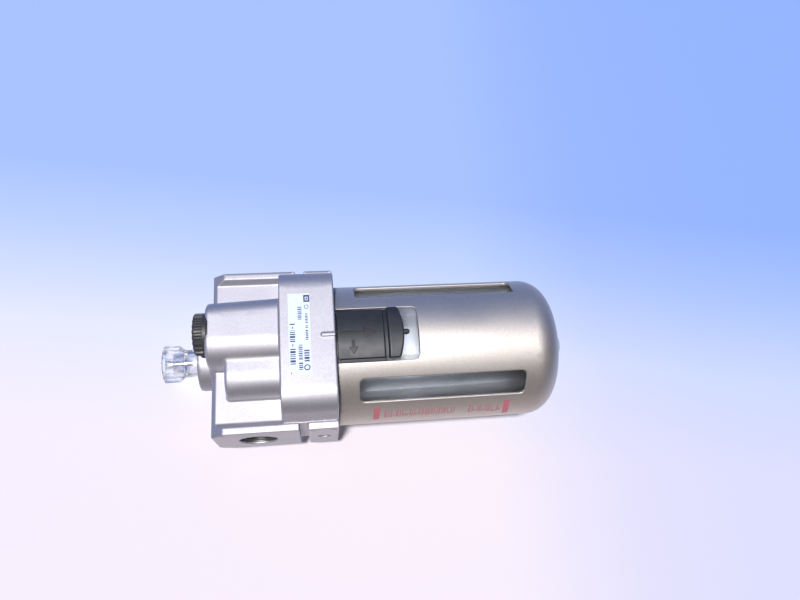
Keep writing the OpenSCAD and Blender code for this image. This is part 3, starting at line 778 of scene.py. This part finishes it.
def button_field(x, y, z):
    """The lock button: a curved panel, a waist, a thumb grip with a round end, side lips and a tab."""
    panel = front_plate(x, y, z, BUTTON_IN, BUTTON_OUT, BUTTON_ANGLE, PANEL_BOTTOM, PANEL_TOP, 0.4, 0.3)
    waist = front_plate(x, y, z, BUTTON_IN, BUTTON_OUT - 0.5, BUTTON_ANGLE, -56, -51, 0.3, 0.2)
    grip = front_plate(x, y, z, BUTTON_IN, GRIP_OUT, BUTTON_ANGLE + 0.012, GRIP_BOTTOM - 1, GRIP_TOP,
                       0.5, 0.75)
    curve = np.hypot(x, z - GRIP_BOTTOM - GRIP_CURVE) - GRIP_CURVE + 0 * y
    grip = meet(grip, curve, 0.7)
    ends = front_plate(x, y, z, BUTTON_IN, BUTTON_OUT - 0.7, BUTTON_ANGLE, -62, -54, 0.4, 0.3)
    ends = meet(curve, ends, 0.3)
    lips = front_plate(x, y, z, BUTTON_IN - 0.02, 29.05, BUTTON_ANGLE + 0.063, -53.6, -35.1, 0.5, 0.15)
    tab = np.hypot(np.hypot(x, y - TAB_Y), np.maximum(TAB_END - z, 0)) - TAB_R
    tab = np.maximum(tab, z + 58)
    shape = join(join(panel, waist, 0.25), join(grip, ends, 0.3), 0.25)
    shape = np.minimum(join(shape, lips, 0.1), tab)
    pocket = np.maximum(np.abs(x) - POCKET_HALF, POCKET_Y - y)
    pocket = np.maximum(pocket, np.abs(z - POCKET_MIDDLE) - POCKET_REACH)
    return cut(shape, pocket, 0.1)


button = surface("release_button", button_field, (-13.2, -33.2, -64.2), (13.2, -25.2, -33.7), 0.2, 0.01, 0.08)
placed(button, "button", "black_plastic", BLACK, "lock_button")


def arrow_field(turn, length, head, half, top, shift):
    """A raised arrow on the button's face, drawn in the plane (sideways, -Z), moved by shift and turned."""
    def field(x, y, z):
        r, angle = around(x + shift, y)
        u, v = angle * BUTTON_OUT, -(z - top)
        along = v * math.cos(turn) - u * math.sin(turn)
        across = np.abs(v * math.sin(turn) + u * math.cos(turn))
        shaft = box2(along, across, (length - head) / 2, 0, (length - head) / 2 + 0.2, half * 0.3)
        slope = math.atan2(half, head)
        sides = across * math.cos(slope) + (along - length) * math.sin(slope)
        tip = np.maximum(sides, length - head - along)
        return slab(np.minimum(shaft, tip), r, BUTTON_OUT - 0.3, BUTTON_OUT + 0.16, 0.05)
    return field


release_shape = arrow_field(0.0, 14.6, 5.0, 2.3, -35.4, 0.0)
turn_shape = arrow_field(math.pi / 2, 5.6, 3.0, 1.9, -40.3, 3.2)
for name, shape, low, high in (
        ("release_arrow", release_shape, (-3.2, -32.2, -50.8), (3.2, -30.6, -34.8)),
        ("turn_arrow", turn_shape, (-10.6, -32.2, -42.8), (-2.6, -29, -37.8))):
    arrow = surface(name, shape, low, high, 0.12, 0.01, 0.05)
    placed(arrow, "button", "black_plastic", ARROW)


def spring_tube(name, low, high, turns, radius, wire, depth):
    """The lock spring: a round wire wound about an upright axis at y = depth."""
    sides, per_turn = 8, 24
    steps = turns * per_turn
    rise = (high - low - 2 * wire) / steps
    points = []
    for i in range(steps + 1):
        angle = 2 * math.pi * i / per_turn
        for k in range(sides):
            turn = 2 * math.pi * k / sides
            out = radius + wire * math.cos(turn)
            points.append((out * math.cos(angle), depth + out * math.sin(angle),
                           low + wire + rise * i + wire * math.sin(turn)))
    faces = []
    for i in range(steps):
        a, b = sides * i, sides * (i + 1)
        faces += [(a + k, b + k, b + (k + 1) % sides, a + (k + 1) % sides) for k in range(sides)]
    faces += [tuple(range(sides)), tuple(sides * steps + k for k in reversed(range(sides)))]
    piece = from_points(name, points, faces)
    piece.data.polygons.foreach_set("use_smooth", np.ones(len(faces), dtype=bool))
    return piece


SPRING_Y, SPRING_R, SPRING_WIRE, SPRING_TURNS = -29.6, 0.9, 0.22, 8
spring_low, spring_high = (corner[2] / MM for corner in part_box("lock_spring"))
spring = spring_tube("button_spring", spring_low, spring_high, SPRING_TURNS, SPRING_R, SPRING_WIRE, SPRING_Y)
placed(spring, "bowl_unit", "steel", STEEL, "lock_spring")
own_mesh(spring)


# ---------------------------------------------------------------- oil fill plug and feed knob

PLUG_FLUTES = 20
KNOB_LOBES = 20


def plug_field(x, y, z):
    """The oil fill plug: a fluted head with a shallow dish, on a hollow shank."""
    r = np.hypot(x - PLUG_X, y - PLUG_Y)
    angle = np.arctan2(y - PLUG_Y, x - PLUG_X)
    collar = slab(r - PLUG_R, z, PLUG_SEAT + 0.25, PLUG_SEAT + 2.1, 0.25)
    fluting = 0.8 * np.clip(0.42 + 1.25 * np.cos(PLUG_FLUTES * angle + 0.4), 0, 1)
    head = slab(r - PLUG_R + fluting, z, PLUG_SEAT + 1.5, PLUG_SEAT + 5.95, 1.0)
    head = cut(head, slab(r - 5.4, z, PLUG_SEAT + 5.3, PLUG_SEAT + 8), 0.25)
    shape = join(collar, head, 0.15)
    shank = slab(r - 6.1, z, PLUG_SEAT - 9, PLUG_SEAT + 1, 0.3)
    shape = np.minimum(shape, shank)
    return cut(shape, slab(r - 3.2, z, PLUG_SEAT - 10, PLUG_SEAT + 0.5), 0.2)


plug = surface("oil_plug", plug_field, (-3.6, -30.7, 7.9), (15.0, -12.1, 23.9), 0.2, 0.01, 0.07)
placed(plug, "plug", "black_plastic", PLUG_BLACK, "fill_plug")

KNOB_R, KNOB_BASE, KNOB_TOP, NECK_R = 8.0, 30.8, 39.4, 6.0


def knob_field(x, y, z):
    """The clear scalloped knob: a cone under a lobed head, with a dish above and bores below."""
    r = np.hypot(x, y)
    angle = np.arctan2(y, x)
    cone = (r - NECK_R - (z - KNOB_BASE) * (KNOB_R - NECK_R) / 2.7) * 0.8
    lobes = 0.55 * np.clip(0.3 + 1.1 * np.cos(KNOB_LOBES * angle), 0, 1)
    shape = slab(np.maximum(r - KNOB_R + lobes, cone), z, KNOB_BASE, KNOB_TOP, 0.45)
    shape = cut(shape, slab(r - 5.6, z, KNOB_TOP - 1.2, KNOB_TOP + 2), 0.3)
    shape = cut(shape, slab(r - 4.1, z, KNOB_BASE - 1, 35.5), 0.15)
    return cut(shape, slab(r - 1.7, z, 35, 38.6), 0.1)


knob = surface("drip_knob", knob_field, (-8.5, -8.5, 30.3), (8.5, 8.5, 39.9), 0.2, 0.01, 0.06)
placed(knob, "knob", "clear_plastic", CLEAR, "feed_knob")


# ---------------------------------------------------------------- printed marks

def stamp(name, shapes, bend, thickness):
    """Thin closed plates from outlines of (u, v) points in order, laid on a surface by bend(u, v, out)."""
    points, faces = [], []
    for outline in shapes:
        start, count = len(points), len(outline)
        points += [bend(u, v, 0.0) for u, v in outline] + [bend(u, v, thickness) for u, v in outline]
        faces.append(tuple(start + k for k in reversed(range(count))))
        faces.append(tuple(start + count + k for k in range(count)))
        faces += [(start + k, start + (k + 1) % count, start + count + (k + 1) % count, start + count + k)
                  for k in range(count)]
    return from_points(name, points, faces)


def bar(u0, u1, v0, v1):
    """A plain rectangle."""
    return [(u0, v0), (u1, v0), (u1, v1), (u0, v1)]


def ring_parts(u, v, outer, inner, parts=24):
    """A plain ring as short quads."""
    def corner(r, k):
        turn = 2 * math.pi * k / parts
        return u + r * math.cos(turn), v + r * math.sin(turn)

    return [[corner(inner, k), corner(outer, k), corner(outer, k + 1), corner(inner, k + 1)]
            for k in range(parts)]


def dashes(u0, u1, v0, v1, lengths, gap):
    """A row of bars whose lengths repeat, from u0 to u1."""
    row, u, i = [], u0, 0
    while u < u1:
        end = min(u + lengths[i % len(lengths)], u1)
        row.append(bar(u, end, v0, v1))
        u = end + gap
        i += 1
    return row


def on_label(u, v, out):
    """u along X and v along Z, on the label's face."""
    return u, -LABEL_FACE - out, v


LABEL_FACE = 31.33
label_marks = (dashes(-11.9, -5.4, -17.3, -15.2, (0.42, 0.9, 0.5, 0.3), 0.42)
               + dashes(-2.6, 2.2, -17.3, -15.2, (0.5, 0.36, 0.8), 0.42)
               + [bar(-4.5, -3.5, -16.5, -16.1), bar(3.0, 3.9, -16.5, -16.1), bar(4.6, 5.1, -17.3, -15.2)]
               + dashes(-14.2, -10.9, -20.1, -18.5, (0.36, 0.6), 0.34)
               + dashes(-10.0, -3.8, -20.1, -18.5, (0.5, 0.3, 0.4), 0.36)
               + dashes(6.8, 12.7, -20.1, -18.5, (0.36, 0.5), 0.42)
               + dashes(-10.9, -6.1, -22.7, -20.7, (0.6, 0.9, 0.5), 0.4)
               + dashes(-1.9, 2.2, -22.5, -21.5, (0.36, 0.5), 0.3)
               + dashes(3.1, 4.3, -22.5, -21.5, (0.36,), 0.3)
               + dashes(5.2, 9.3, -22.5, -21.5, (0.4, 0.3), 0.3)
               + ring_parts(-13.3, -21.7, 1.25, 0.8)
               + ring_parts(12.2, -22.1, 0.95, 0.7, 18)
               + [bar(14.3, 17.4, -23.4, -22.8), bar(14.3, 17.4, -21.6, -21.0), bar(14.3, 15.0, -22.8, -21.6),
                  bar(16.6, 17.4, -22.8, -21.6), bar(15.3, 16.3, -22.5, -21.9)])
placed(stamp("label_marks", label_marks, on_label, 0.02), "housing", "label_film", INK)
dot_outline = [(-15.4 + 0.45 * math.cos(a), -15.5 + 0.3 * math.sin(a))
               for a in np.linspace(0, 2 * math.pi, 16, endpoint=False)]
placed(stamp("label_dot", [dot_outline], on_label, 0.02), "housing", "label_film", RED_INK)


def on_guard(u, v, out):
    """u in degrees from the front, v along Z."""
    r = GUARD_R + 0.012 + out
    return r * math.sin(math.radians(u)), -r * math.cos(math.radians(u)), v


def guard_bar(a0, a1, v0, v1, slant=0.0):
    """A patch between two angles, cut in steps so that it follows the round wall."""
    steps = max(1, int(abs(a1 - a0) / 2.5))
    cells = []
    for k in range(steps):
        p, q = a0 + (a1 - a0) * k / steps, a0 + (a1 - a0) * (k + 1) / steps
        rise_p, rise_q = slant * (p - a0) / (a1 - a0), slant * (q - a0) / (a1 - a0)
        cells.append([(p, v0 + rise_p), (q, v0 + rise_q), (q, v1 + rise_q), (p, v1 + rise_p)])
    return cells


strokes = random.Random(7)
faded = []
for low, high in ((-83.2, -52.5), (-103.6, -89.7)):
    v = low
    while v < high:
        width = strokes.uniform(0.4, 1.1)
        top, bottom = strokes.uniform(-69, -67), strokes.uniform(-80, -77)
        if strokes.random() < 0.8:
            faded += guard_bar(bottom, top, v, v + width)
        else:
            faded += guard_bar(bottom, bottom + 3, v, v + width * 1.6)
        v += width + strokes.uniform(0.3, 0.6)
placed(stamp("caution_marks", faded, on_guard, 0.01), "bowl_unit", "guard_metal", FADED_RED)
blocks = guard_bar(-82, -64, -50.9, -48.3) + guard_bar(-86, -64, -108.0, -105.4, 1.3)
placed(stamp("caution_blocks", blocks, on_guard, 0.01), "bowl_unit", "guard_metal", RED_INK)
